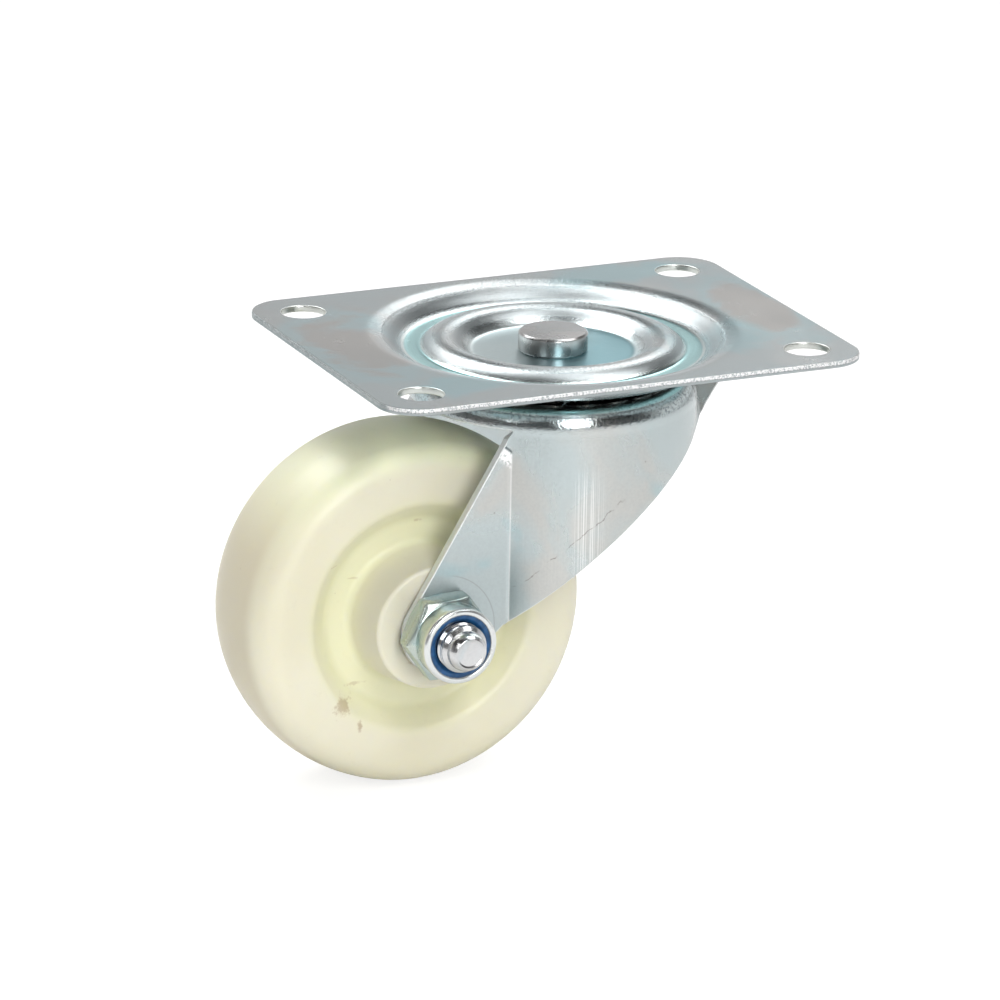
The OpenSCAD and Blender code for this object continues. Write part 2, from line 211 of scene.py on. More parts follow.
def make(name, shape, mats, body, node, sharp=38, weighted=False):
    """Makes the mesh object of a shape, which rides on a body in place of a solid."""
    mesh = bpy.data.meshes.new(name)
    bm = bmesh.new()
    vs = [bm.verts.new(Vector(p) * MM) for p in shape.points]
    for face, tag in shape.faces:
        try:
            f = bm.faces.new([vs[i] for i in dict.fromkeys(face)])
            f.material_index = tag
        except ValueError:
            pass
    bmesh.ops.remove_doubles(bm, verts=bm.verts, dist=2e-7)
    bmesh.ops.dissolve_degenerate(bm, edges=bm.edges, dist=1e-8)
    bmesh.ops.recalc_face_normals(bm, faces=bm.faces)
    bm.to_mesh(mesh)
    bm.free()
    mesh.shade_smooth()
    mesh.set_sharp_from_angle(angle=math.radians(sharp))
    obj = put_in_scene(name, mesh)
    for m in mats:
        mesh.materials.append(m)
    if weighted:
        w = obj.modifiers.new("even", "WEIGHTED_NORMAL")
        w.keep_sharp = True
        w.weight = 80
    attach(obj, body)
    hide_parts(node)


# ---------------------------------------------------------------- materials

class Nodes:
    """Short words for building a node tree."""

    def __init__(self, name, tree=None):
        if tree is None:
            self.mat = bpy.data.materials.new(name)
            self.mat.use_nodes = True
            tree = self.mat.node_tree
            self.bsdf = tree.nodes["Principled BSDF"]
        self.tree = tree
        self.coord = tree.nodes.new("ShaderNodeTexCoord")

    def link(self, a, b):
        self.tree.links.new(a, b)

    def put(self, socket, value):
        if isinstance(value, bpy.types.NodeSocket):
            self.link(value, socket)
        else:
            socket.default_value = value

    def mapped(self, scale=(1, 1, 1), loc=(0, 0, 0)):
        m = self.tree.nodes.new("ShaderNodeMapping")
        m.inputs["Scale"].default_value = scale
        m.inputs["Location"].default_value = loc
        self.link(self.coord.outputs["Object"], m.inputs["Vector"])
        return m.outputs["Vector"]

    def noise(self, scale, vector=None, detail=3.0, rough=0.5, distort=0.0):
        n = self.tree.nodes.new("ShaderNodeTexNoise")
        n.inputs["Scale"].default_value = scale
        n.inputs["Detail"].default_value = detail
        n.inputs["Roughness"].default_value = rough
        n.inputs["Distortion"].default_value = distort
        self.link(vector or self.coord.outputs["Object"], n.inputs["Vector"])
        return n.outputs["Fac"]

    def voronoi(self, scale):
        n = self.tree.nodes.new("ShaderNodeTexVoronoi")
        n.inputs["Scale"].default_value = scale
        self.link(self.coord.outputs["Object"], n.inputs["Vector"])
        return n.outputs["Distance"]

    def span(self, value, a, b, c=0.0, d=1.0, smooth=True):
        n = self.tree.nodes.new("ShaderNodeMapRange")
        n.interpolation_type = "SMOOTHSTEP" if smooth else "LINEAR"
        self.link(value, n.inputs["Value"])
        for k, x in zip(("From Min", "From Max", "To Min", "To Max"), (a, b, c, d)):
            n.inputs[k].default_value = x
        return n.outputs["Result"]

    def math(self, op, a, b=0.0, c=0.0):
        n = self.tree.nodes.new("ShaderNodeMath")
        n.operation = op
        for s, x in zip(n.inputs, (a, b, c)):
            self.put(s, x)
        return n.outputs[0]

    def times(self, first, *others):
        for value in others:
            first = self.math("MULTIPLY", first, value)
        return first

    def length(self, x, y):
        return self.math("SQRT", self.math("ADD", self.times(x, x), self.times(y, y)))

    def apart(self, a, b):
        return self.math("ABSOLUTE", self.math("SUBTRACT", a, b))

    def between(self, value, a, b, c, d):
        """1 from b to c, falling smoothly to 0 at a and at d."""
        return self.times(self.span(value, a, b), self.span(value, d, c))

    def mix(self, fac, a, b):
        n = self.tree.nodes.new("ShaderNodeMix")
        n.data_type = "RGBA"
        self.put(n.inputs[0], fac)
        self.put(n.inputs[6], a)
        self.put(n.inputs[7], b)
        return n.outputs[2]

    def tint(self, color, toward, *shares):
        """The color moved toward another by the product of the shares."""
        return self.mix(self.times(*shares), color, toward)

    def axes(self, source=None):
        n = self.tree.nodes.new("ShaderNodeSeparateXYZ")
        self.link(source or self.coord.outputs["Object"], n.inputs[0])
        return n.outputs

    def join(self, x, y, z):
        n = self.tree.nodes.new("ShaderNodeCombineXYZ")
        for s, v in zip(n.inputs, (x, y, z)):
            self.put(s, v)
        return n.outputs[0]

    def bump(self, height, strength, distance, normal=None):
        n = self.tree.nodes.new("ShaderNodeBump")
        n.inputs["Strength"].default_value = strength
        n.inputs["Distance"].default_value = distance
        self.link(height, n.inputs["Height"])
        if normal:
            self.link(normal, n.inputs["Normal"])
        return n.outputs["Normal"]

    def done(self, color, rough, normal=None, metallic=0.0, **named):
        b = self.bsdf
        self.put(b.inputs["Base Color"], color)
        self.put(b.inputs["Roughness"], rough)
        b.inputs["Metallic"].default_value = metallic
        if normal:
            self.link(normal, b.inputs["Normal"])
        for k, v in named.items():
            b.inputs[k.replace("_", " ")].default_value = v
        return self.mat


def rgb(r, g, b):
    return (r, g, b, 1.0)


def radius_of(n, x, y, cx=0.0, cy=0.0):
    """Distance of a point from a centre, in millimetres."""
    return n.length(n.math("MULTIPLY_ADD", x, 1000.0, -cx),
                    n.math("MULTIPLY_ADD", y, 1000.0, -cy))


def blob(n, x, y, place, size, wobble):
    """Above 0 inside an oval whose edge wanders with the wobble, and highest in its middle."""
    dx = n.math("MULTIPLY_ADD", x, 1000.0 / size[0], -place[0] / size[0])
    dy = n.math("MULTIPLY_ADD", y, 1000.0 / size[1], -place[1] / size[1])
    return n.math("SUBTRACT", wobble, n.length(dx, dy))


def zinc(name, cool, warm, teal, rough, grain=0.35, patch=38.0, metallic=1.0, teal_low=0.56,
         marks=None):
    """Bright zinc plate: cool steel clouded with warm and turquoise film, and fine grain."""
    n = Nodes(name)
    cloud = n.span(n.noise(patch, detail=4, rough=0.55, distort=0.6), 0.40, 0.64)
    film = n.span(n.noise(patch * 0.8, n.mapped(loc=(3.1, 1.7, 0.4)), detail=3, distort=1.2),
                  teal_low, teal_low + 0.16)
    fine = n.noise(1700, detail=2, rough=0.6)
    color = n.tint(cool, warm, cloud, 0.75)
    color = n.tint(color, teal, film, 0.7)
    color = n.tint(color, GRAIN_GREY, n.span(fine, 0.3, 0.75, 0.0, 0.14))
    worn = n.span(n.noise(160, n.mapped((1, 1, 0.12)), detail=5, rough=0.7), 0.52, 0.80)
    r = n.math("MULTIPLY_ADD", worn, 0.08, n.span(cloud, 0, 1, rough, rough + 0.06, False))
    orange = n.noise(1100, detail=2, rough=0.5)
    nrm = n.bump(n.math("MULTIPLY_ADD", fine, 0.6, orange), grain, 0.00004)
    if marks:
        color, r, nrm = marks(n, color, r, nrm)
    return n.done(color, r, nrm, metallic)


# Plating
GRAIN_GREY = rgb(0.32, 0.34, 0.36)
COOL, WARM = rgb(0.475, 0.53, 0.54), rgb(0.475, 0.485, 0.48)
TEAL, PALE_TEAL = rgb(0.20, 0.50, 0.58), rgb(0.40, 0.68, 0.69)
# Marks on the top plate, with painted highlight lines, painted glints and painted shade
PATCH, PATCH_RIM, FILM = rgb(0.455, 0.44, 0.42), rgb(0.40, 0.55, 0.58), rgb(0.36, 0.56, 0.60)
DISC_GREY, PIT, SMOOTH_CUT = rgb(0.36, 0.42, 0.42), rgb(0.24, 0.29, 0.31), rgb(0.36, 0.39, 0.40)
FOOT_HIGHLIGHT, DISC_HIGHLIGHT = rgb(0.82, 0.88, 0.86), rgb(0.78, 0.84, 0.84)
HOLE_WALL, GLINT_WHITE, END_SHADE = rgb(0.74, 0.75, 0.70), rgb(0.98, 0.98, 0.98), rgb(0.22, 0.27, 0.28)
# Marks on the fork and the nut, with painted highlights and a painted shade line
PAINTED_SHINE, GRIT, SCRATCH = rgb(0.93, 0.93, 0.92), rgb(0.16, 0.19, 0.21), rgb(0.18, 0.15, 0.14)
SHOULDER_SHADE, DIRT = rgb(0.10, 0.12, 0.13), rgb(0.22, 0.19, 0.17)
NUT_PRINT, BARE = rgb(0.30, 0.30, 0.31), rgb(0.80, 0.80, 0.80)


def plate_marks(n, color, r, nrm):
    """Film colours, sheared edge, pressed grain, and painted highlight lines, glints and shade of
    the top plate.
    """
    x, y, z = n.axes()
    rad = radius_of(n, x, y)
    wob = n.span(n.noise(70, detail=4, rough=0.6, distort=0.4), 0.25, 0.75, 0.55, 1.45, False)
    # A warm patch with a turquoise rim lies on each end, and thin film between them
    patch = n.math("MAXIMUM", blob(n, x, y, (-41, 3), (10, 20), wob),
                   blob(n, x, y, (45, 0), (7, 20), wob))
    flat = n.span(rad, 34.0, 38.0)
    color = n.tint(color, PATCH_RIM, n.between(patch, -0.60, -0.05, -0.05, 0.35), flat, 0.55)
    color = n.tint(color, PATCH, n.span(patch, -0.12, 0.42), flat, 0.85)
    film = blob(n, x, y, (-31, -27), (13, 7), wob)
    for place, size in (((30, 33), (16, 7)), ((29, -14), (10, 14))):
        film = n.math("MAXIMUM", film, blob(n, x, y, place, size, wob))
    color = n.tint(color, FILM, n.span(film, -0.15, 0.50), 0.6)
    # Turquoise film lies in the ring and the inner disc, where the plate was last to drain
    color = n.tint(color, PALE_TEAL, n.between(rad, 26.2, 27.2, 29.6, 30.6), 0.85)
    disc = n.span(rad, 18.2, 16.0)
    lean = n.span(n.math("SUBTRACT", x, n.times(y, 0.9)), -0.010, 0.012, 0.15, 1.0)
    color = n.tint(color, TEAL, disc, lean, 0.95)
    color = n.tint(color, DISC_GREY, disc, 0.35)
    r = n.math("MULTIPLY_ADD", disc, 0.10, r)
    # Painted highlights: bright lines where the ring meets its slopes, and where the disc meets
    # the raised ring
    for line in (30.4, 26.5):
        color = n.tint(color, FOOT_HIGHLIGHT, n.span(n.apart(rad, line), 0.45, 0.10), 0.5)
    color = n.tint(color, DISC_HIGHLIGHT, n.between(rad, 16.0, 16.9, 17.4, 18.4), 0.6)
    # Pressed slopes and the raised ring are grainy
    pull = n.math("MAXIMUM", n.between(rad, 17.0, 19.0, 26.0, 27.5),
                  n.between(rad, 29.5, 31.0, 35.0, 38.6))
    pit = n.noise(1900, detail=3, rough=0.75)
    nrm = n.bump(n.times(pit, pull), 1.0, 0.00006, nrm)
    color = n.tint(color, PIT, pull, n.span(pit, 0.52, 0.60, 0.0, 0.40))
    # Sheared edge: rough over its upper half, with painted glints along its torn streaks, and
    # smooth and grey below
    streak = n.noise(1.0, n.mapped((2300, 2300, 1500)), detail=3, rough=0.7)
    level = n.math("ABSOLUTE", n.axes(n.coord.outputs["Normal"])[2])
    side = n.span(level, 0.80, 0.985, 1.0, 0.0)
    outer = n.times(side, n.span(z, -0.0030, -0.0022))
    torn = n.times(outer, n.span(n.math("MULTIPLY_ADD", streak, 0.0005, z), -0.00060, -0.00040))
    from_hole = radius_of(n, n.math("ABSOLUTE", x), n.math("ABSOLUTE", y), HOLE_X, HOLE_Y)
    torn = n.times(torn, n.span(from_hole, 5.0, 5.4))
    color = n.tint(color, SMOOTH_CUT, outer, 0.55)
    color = n.tint(color, HOLE_WALL, n.span(from_hole, 5.1, 4.8), side, 0.7)
    # Painted glints in white on the torn streaks
    color = n.tint(color, GLINT_WHITE, torn, n.span(streak, 0.42, 0.52, 0.15, 0.95))
    # Painted shade darkens the cut edge's end face on the -X side
    color = n.tint(color, END_SHADE, outer, n.span(x, -0.0508, -0.0516), 0.7)
    r = n.math("MULTIPLY_ADD", outer, 0.12, r)
    nrm = n.bump(n.times(streak, torn), 1.0, 0.00035, nrm)
    return color, r, nrm


def fork_marks(n, color, r, nrm):
    """Draw lines, scratches, painted highlights on the wall and crease, a painted shade line and
    highlight for the legs' shoulders, and the nut's print on the fork.
    """
    x, y, z = n.axes()
    turn = n.math("ARCTAN2", y, x)
    side = n.span(y, -0.0150, -0.0185)
    # Draw lines run down the wall as bumps, and a painted highlight in streaks lies beside the
    # leg
    fine = n.noise(1.0, n.join(n.times(turn, 75.0), n.times(z, 22.0), 0.0), detail=4, rough=0.7)
    nrm = n.bump(n.times(fine, side, n.span(z, -0.013, -0.019)), 0.35, 0.00012, nrm)
    line = n.noise(1.0, n.join(n.times(turn, 160.0), n.times(z, 12.0), 0.0), detail=2)
    color = n.tint(color, PAINTED_SHINE, n.between(turn, -1.86, -1.80, -1.70, -1.60),
                   n.span(z, -0.018, -0.026), n.span(line, 0.50, 0.62), side, 0.6)
    # The drawn corner of the crown is grainy
    drawn = n.between(z, -0.0140, -0.0126, -0.0092, -0.0080)
    grit = n.noise(1900, detail=3, rough=0.75)
    nrm = n.bump(n.times(grit, drawn), 1.0, 0.00004, nrm)
    color = n.tint(color, GRIT, n.between(z, -0.0124, -0.0116, -0.0090, -0.0084),
                   n.span(grit, 0.52, 0.58, 0.0, 0.6))
    r = n.math("MULTIPLY_ADD", drawn, -0.13, r)
    # A broken scratch climbs across the wall
    sway = n.times(n.noise(150, detail=5, rough=0.65), 0.0046)
    path = n.math("ADD", n.math("MULTIPLY_ADD", turn, 0.0234, 0.0050), sway)
    broken = n.span(n.noise(420, detail=2), 0.44, 0.56)
    color = n.tint(color, SCRATCH, n.span(n.apart(z, path), 0.00022, 0.00004), broken,
                   n.between(turn, -2.26, -2.22, -1.55, -1.45), side, 0.6)
    # A painted highlight, white and speckled, under a painted shade line stands for a small
    # shoulder at the top of each leg
    on_leg = n.times(n.span(y, -0.0217, -0.0220), n.span(x, -0.0187, -0.0191))
    along = n.math("MULTIPLY_ADD", z, 0.77, n.times(x, 0.64))
    specks = n.span(n.noise(1500, detail=2, rough=0.7), 0.40, 0.50)
    color = n.tint(color, GLINT_WHITE, n.between(along, -0.0284, -0.0270, -0.0256, -0.0253), on_leg,
                   specks)
    color = n.tint(color, SHOULDER_SHADE, n.span(n.apart(along, -0.02509), 0.00030, 0.00010),
                   on_leg, 0.85)
    # A painted highlight runs along the crease beside the leg, and the wall is duller there
    color = n.tint(color, PAINTED_SHINE, n.span(n.apart(x, -0.0190), 0.00022, 0.00002),
                   n.span(y, -0.0212, -0.0217), n.span(z, -0.017, -0.020), 0.5)
    beside = n.times(n.span(turn, -2.05, -2.20), n.span(z, -0.030, -0.045), side)
    r = n.math("MULTIPLY_ADD", beside, 0.20, r)
    # Specks of dirt
    color = n.tint(color, DIRT, n.span(n.voronoi(300), 0.09, 0.05),
                   n.span(n.noise(75, detail=1), 0.56, 0.62), 0.5)
    # The nut has left a ring on the leg
    ring = n.apart(radius_of(n, x, z, AXLE_X, AXLE_Z), 11.6)
    color = n.tint(color, NUT_PRINT, n.span(ring, 0.18, 0.04), side,
                   n.span(x, -0.0330, -0.0290), 0.45)
    return color, r, nrm


def nut_marks(n, color, r, nrm):
    """The rolled collar of the nut is bare and bright."""
    return n.tint(color, BARE, n.span(n.axes()[1], -0.0304, -0.0314), 0.75), r, nrm


plate_mat = zinc("zinc_plate", COOL, WARM, rgb(0.42, 0.55, 0.58), 0.19, grain=0.45,
                 teal_low=0.60, marks=plate_marks)
fork_mat = zinc("zinc_fork", rgb(0.495, 0.555, 0.56), rgb(0.575, 0.56, 0.53),
                rgb(0.37, 0.53, 0.565), 0.25, grain=0.45, patch=48, marks=fork_marks)
edge_mat = zinc("zinc_edge", rgb(0.74, 0.77, 0.78), rgb(0.74, 0.74, 0.73),
                rgb(0.62, 0.72, 0.74), 0.38, grain=0.7, patch=90, metallic=0.6)
race_mat = zinc("zinc_race", rgb(0.45, 0.48, 0.50), rgb(0.46, 0.44, 0.43), TEAL, 0.4)
pin_mat = zinc("pin_turned", rgb(0.43, 0.445, 0.445), rgb(0.405, 0.385, 0.375),
               rgb(0.30, 0.50, 0.53), 0.24, grain=0.3, patch=90)
bolt_mat = zinc("bolt_zinc", rgb(0.66, 0.67, 0.68), rgb(0.66, 0.64, 0.63),
                rgb(0.55, 0.63, 0.66), 0.17, grain=0.3, patch=90)
nut_mat = zinc("nut_zinc", rgb(0.50, 0.59, 0.57), rgb(0.55, 0.59, 0.52),
               rgb(0.24, 0.46, 0.52), 0.22, grain=0.3, patch=120, metallic=0.82,
               teal_low=0.48, marks=nut_marks)


def ball_steel():
    n = Nodes("ball_steel")
    smear = n.noise(500, detail=3)
    # The balls are painted near black, partly for the shade inside the race and partly for the
    # brown grease smeared on them
    c = n.mix(n.span(smear, 0.4, 0.7), rgb(0.17, 0.17, 0.165), rgb(0.10, 0.085, 0.07))
    return n.done(c, n.span(smear, 0.3, 0.7, 0.16, 0.34), metallic=1.0)


def sleeve_steel():
    n = Nodes("sleeve_steel")
    line = n.noise(900, n.mapped((1, 0.02, 1)), detail=3)
    c = n.mix(n.span(line, 0.35, 0.7), rgb(0.50, 0.51, 0.53), rgb(0.36, 0.35, 0.34))
    return n.done(c, n.span(line, 0.3, 0.7, 0.3, 0.45), n.bump(line, 0.2, 0.00003), 1.0)


def blue_nylon():
    n = Nodes("blue_nylon")
    soft = n.noise(700, detail=3)
    c = n.mix(n.span(soft, 0.3, 0.7), rgb(0.005, 0.052, 0.145), rgb(0.014, 0.095, 0.25))
    return n.done(c, 0.38, n.bump(soft, 0.15, 0.00004))


# Stains on the wheel's near side: place and size about the axle's plane, and strength
STAINS = (((-50.5, -69.3), (3.2, 2.6), 0.55), ((-47.0, -74.1), (0.9, 1.9), 0.6),
          ((-46.6, -66.2), (3.6, 0.7), 0.35), ((-40.4, -54.4), (0.9, 2.2), 0.5),
          ((-38.8, -59.4), (1.5, 1.0), 0.4), ((-33.6, -33.4), (1.5, 0.6), 0.35),
          ((-52.9, -40.1), (2.2, 0.35), 0.3), ((-47.1, -44.0), (1.8, 0.3), 0.3))


def cream_nylon():
    n = Nodes("cream_nylon")
    x, y, z = n.axes()
    rad = radius_of(n, x, z, AXLE_X, AXLE_Z)
    side = n.math("ABSOLUTE", y)
    body = n.mix(n.span(n.noise(34, detail=3, distort=0.4), 0.35, 0.65),
                 rgb(0.765, 0.735, 0.590), rgb(0.735, 0.700, 0.535))
    # Painted light: where the web and hub are thin, the nylon is tinted toward its own
    # yellow-green, for the light that shines through them more than through the rim
    deep = n.times(n.span(rad, 23.2, 26.2, 1.0, 0.0), n.span(rad, 12.8, 15.0))
    low = n.span(side, 0.0085, 0.0150, 1.0, 0.35)
    body = n.tint(body, rgb(0.755, 0.75, 0.505), deep, low, 0.85)
    # Painted shade darkens the tread towards its left limb
    limb_shade = n.times(n.span(side, 0.0105, 0.0065), n.span(x, -0.042, -0.062, 0.45, 1.0))
    body = n.tint(body, rgb(0.60, 0.54, 0.39), limb_shade, n.span(rad, 33.5, 36.2), 0.75)
    # Painted shade darkens the hub's end, and painted light makes the tread lighter and greener
    # where the fork covers it
    body = n.tint(body, rgb(0.69, 0.665, 0.54), n.span(rad, 14.6, 13.4), 0.8)
    body = n.tint(body, rgb(0.90, 0.91, 0.65), n.span(z, -0.040, -0.018),
                  n.span(rad, 30.0, 34.5), 0.9)
    fine = n.noise(420, detail=4, rough=0.6)
    body = n.tint(body, rgb(0.45, 0.40, 0.28), n.span(fine, 0.62, 0.78, 0.0, 0.10))
    # Brown stains and scuffs on the near side
    near = n.span(y, -0.003, -0.007)
    wob = n.span(n.noise(420, detail=4, rough=0.75), 0.25, 0.75, 0.1, 1.3, False)
    for place, size, strength in STAINS:
        there = n.span(blob(n, x, z, place, size, wob), -0.10, 0.45)
        body = n.tint(body, rgb(0.36, 0.25, 0.12), there, near, strength)
    body = n.tint(body, rgb(0.30, 0.22, 0.13), n.span(n.voronoi(230), 0.055, 0.030),
                  n.span(n.noise(60), 0.50, 0.60), 0.5)
    r = n.span(n.noise(90, detail=3), 0.3, 0.7, 0.34, 0.44)
    nrm = n.bump(n.noise(260, detail=3, rough=0.6), 0.10, 0.00006)
    nrm = n.bump(n.noise(45, detail=2), 0.12, 0.0004, nrm)
    n.bsdf.inputs["Subsurface Radius"].default_value = (1.0, 0.85, 0.45)
    return n.done(body, r, nrm, Subsurface_Weight=0.35, Subsurface_Scale=0.003, IOR=1.53)


def dress(node, material):
    """Gives a solid that stays its finished material."""
    o = frame["nodes"][node]
    o.data.materials.clear()
    o.data.materials.append(material)


ball_mat = ball_steel()
for node in frame["nodes"]:
    if "_ball_" in node:
        dress(node, ball_mat)
dress("lower_race", race_mat)
dress("axle_sleeve", sleeve_steel())
wheel_mat = cream_nylon()
blue_mat = blue_nylon()


# ---------------------------------------------------------------- top plate

def plate():
    s = Shape()
    # The rim bends more widely than the foot of its slope
    foot_r, flat_r, bore = 4.2, RIM_OUT + 0.9, KING_R + 0.05
    both = ((RIM_OUT - RING_R) ** 2 + RING_Z ** 2) / (2 * -RING_Z)
    rim_r = both - foot_r
    tilt = math.degrees(2 * math.atan2(-RING_Z, RIM_OUT - RING_R))
    a_in = math.degrees(math.asin((DISC_Z - GROOVE_Z) / RIDGE_R))
    a_out = math.degrees(math.asin((RING_Z - GROOVE_Z) / RIDGE_R))
    path = [(bore, DISC_Z), (DISC_R - 0.3, DISC_Z)]
    path += arc(GROOVE_R, GROOVE_Z, RIDGE_R, 180 - a_in - 22, a_out, 60)
    path += arc(RING_R, RING_Z + foot_r, foot_r, -90, tilt - 90, 20)
    path += arc(RIM_OUT, -rim_r, rim_r, 90 + tilt, 90, 24)
    path += [(flat_r, 0.0)]
    top = eased(path, 0.2, 0.42)[::2]
    top[0], top[-1] = path[0], path[-1]
    low = offset(top, PLATE_T)
    low[0] = (bore, DISC_Z - PLATE_T)
    # The sheet is a little thicker at the foot of the dish, and thinner again at the rim
    for p in low:
        t = min(1.0, max(0.0, (p[0] - THIN_FROM) / (THIN_TO - THIN_FROM)))
        p[1] += (PLATE_T - RIM_T) * t * t * (3 - 2 * t) - 0.30 * math.exp(
            -((p[0] - 30.8) / 2.0) ** 2)
    low[-1] = (flat_r, -RIM_T)
    for face in (list(top), list(low), [top[0], low[0]]):
        lathe(s, face, about_z)
    circle = [(math.cos(a) * flat_r, math.sin(a) * flat_r)
              for a in (2 * math.pi * i / TURNS for i in range(TURNS))]
    # Rounded outline with a point every few tenths of a millimetre in the corners
    hx, hy, c = PLATE_LEN / 2, PLATE_WID / 2, PLATE_CORNER
    outline, normals = [], []
    for sx, sy, a0 in ((1, 1, 0), (-1, 1, 90), (-1, -1, 180), (1, -1, 270)):
        for k in range(25):
            a = math.radians(a0 + 90 * k / 24)
            outline.append((sx * (hx - c) + c * math.cos(a), sy * (hy - c) + c * math.sin(a)))
            normals.append((math.cos(a), math.sin(a)))
    loops = [(outline, normals)]
    turn = [(math.cos(a), math.sin(a)) for a in (2 * math.pi * k / 72 for k in range(72))]
    for sx in (-1, 1):
        for sy in (-1, 1):
            loops.append(([(sx * HOLE_X + HOLE_R * c, sy * HOLE_Y + HOLE_R * q) for c, q in turn],
                          [(-c, -q) for c, q in turn]))
    # Across the cut edge, from the top face down: how far in, and how low
    stations = [(EDGE_ROLL * (1 - math.sin(a)), -EDGE_ROLL * (1 - math.cos(a)))
                for a in np.radians((0, 22.5, 45, 67.5, 90))]
    stations += [(0.0, -0.75), (0.0, -1.1)]
    stations += [(EDGE_ROLL * (1 - math.cos(a)), -RIM_T + EDGE_ROLL * (1 - math.sin(a)))
                 for a in np.radians((0, 30, 60, 90))]
    tops, lows = [], []
    for pts, nrm in loops:
        rows = [[(p[0] - i * q[0], p[1] - i * q[1], z) for i, z in stations]
                for p, q in zip(pts, nrm)]
        s.grid(rows, wrap=True)
        tops.append([r[0][:2] for r in rows])
        lows.append([r[-1][:2] for r in rows])
    s.flat([tops[0], circle] + tops[1:], 0.0)
    s.flat([lows[0], circle] + lows[1:], -RIM_T)
    make("top_plate_pressed", s, [plate_mat], "plate", "top_plate", weighted=True)


# ---------------------------------------------------------------- kingpin

def kingpin():
    s = Shape()
    h = KING_HEAD_R
    dome = (KING_TAIL_R ** 2 + KING_TAIL_H ** 2) / (2 * KING_TAIL_H)
    low = CUP_Z - KING_TAIL_H
    sweep = math.degrees(math.asin(KING_TAIL_R / dome))
    path = [(0, 0.0), (h - 0.42, 0.0, 0.12), (h, -0.42, 0.25), (h, DISC_Z + 0.35, 0.3),
            (h - 0.25, DISC_Z), (KING_R, DISC_Z), (KING_R, CUP_Z), (KING_TAIL_R, CUP_Z, 0.0)]
    pts = rounded(path)
    pts += arc(0, low + dome, dome, -90 + sweep, -90, 24)
    lathe(s, pts, about_z, turns=144)
    make("kingpin_turned", s, [pin_mat], "plate", "kingpin")


# ---------------------------------------------------------------- fork

def trim_centre():
    p, q = np.array([END_X, END_Z]), np.array(TRIM_END)
    d = q - p
    length = np.linalg.norm(d)
    u = d / length
    a, b = TRIM_R + END_R, TRIM_R
    x = (a * a - b * b + length * length) / (2 * length)
    h = math.sqrt(a * a - x * x)
    return p + u * x + np.array([u[1], -u[0]]) * h


TRIM_C = trim_centre()


def trim_z(x):
    return TRIM_C[1] + math.sqrt(TRIM_R ** 2 - (x - TRIM_C[0]) ** 2)


def front_foot():
    p, q = np.array([END_X, END_Z]), np.array(FRONT_TOP)
    d = p - q
    back = math.atan2(-d[1], -d[0])
    turn = math.acos(END_R / np.linalg.norm(d))
    return p + END_R * np.array([math.cos(back + turn), math.sin(back + turn)])


# Plan of the rear lip: its reach from the kingpin axis at each angle from the ridge
LIP_PHI = [0.0, 1.35, 4.03, 10.05, 16.9, 25.2, 35.2]
LIP_REACH = [38.45, 38.25, 36.95, 33.75, 31.25, 29.85, 29.36]
LIP_LAST = 36.0


def lip_top(x, y):
    dip = 0.6 * math.exp(-((abs(y) - 8.0) / 4.0) ** 2)
    return (WALL_Z + 0.4 * EDGE_R - 0.1405 * (x - CROWN_R)
            - 0.577 * (math.sqrt(y * y + 1.0) - 0.35) - dip)


def crown_path(phi):
    """Outer face of the fork at one angle, from the groove to its lower edge, in two parts."""
    corner = [np.array([q[0], CROWN_Z + (q[1] - CROWN_Z) * EDGE_STRETCH])
              for q in arc(CROWN_R - EDGE_R, WALL_Z, EDGE_R, 90, 0, 14)]
    near = abs(phi)
    c, s = math.cos(math.radians(phi)), math.sin(math.radians(phi))
    if near >= LIP_LAST:
        skirt = (CROWN_R, SKIRT_Z)
        return corner + [skirt], [skirt, (CROWN_R, trim_z(CROWN_R * c))]
    # Away from the ridge, the reach is the mean of three angles, which rounds the lip's plan
    around = [near - 1.2, near, near + 1.2] if near > 1.0 else [near]
    reach = float(np.interp(around, LIP_PHI, LIP_REACH).mean())
    top_at = lip_top(CROWN_R * c, CROWN_R * s)
    blend = min(1.0, max(0.0, (LIP_LAST - near) / 5.0))
    end_z = lip_top(reach * c, reach * s) * blend + trim_z(CROWN_R * c) * (1 - blend)
    path = [p for p in corner if p[1] > top_at + 0.3]
    if top_at < WALL_Z:
        path.append(np.array([CROWN_R, top_at]))
    path.append(np.array([reach if reach > CROWN_R + 0.05 else CROWN_R, end_z]))
    full = eased(path, 0.25, 0.9)
    full[0], full[-1] = path[0], path[-1]
    below = full[:, 1] <= SKIRT_Z + 1.9 * (1 - near / LIP_LAST)
    k = int(np.argmax(below)) if below.any() else len(full) // 2
    k = max(4, min(k, len(full) - 4))
    return list(full[:k + 1]), list(full[k:])


def sheet_normals(rows, wrap):
    """Normals of a grid of points, taken from its neighbours."""
    p = np.array(rows, float)
    du = np.roll(p, -1, 0) - np.roll(p, 1, 0) if wrap else np.gradient(p, axis=0)
    n = np.cross(du, np.gradient(p, axis=1))
    n /= np.maximum(np.linalg.norm(n, axis=2), 1e-12)[..., None]
    return n


def cut_edge(o, i, n, d):
    """Points across a rounded cut edge, from the sheet's outer face to its inner one."""
    b = CUT_ROUND
    return [o, o + d * b * 0.7 - n * b * 0.3, o + d * b - n * b,
            i + d * b + n * b, i + d * b * 0.7 + n * b * 0.3, i]


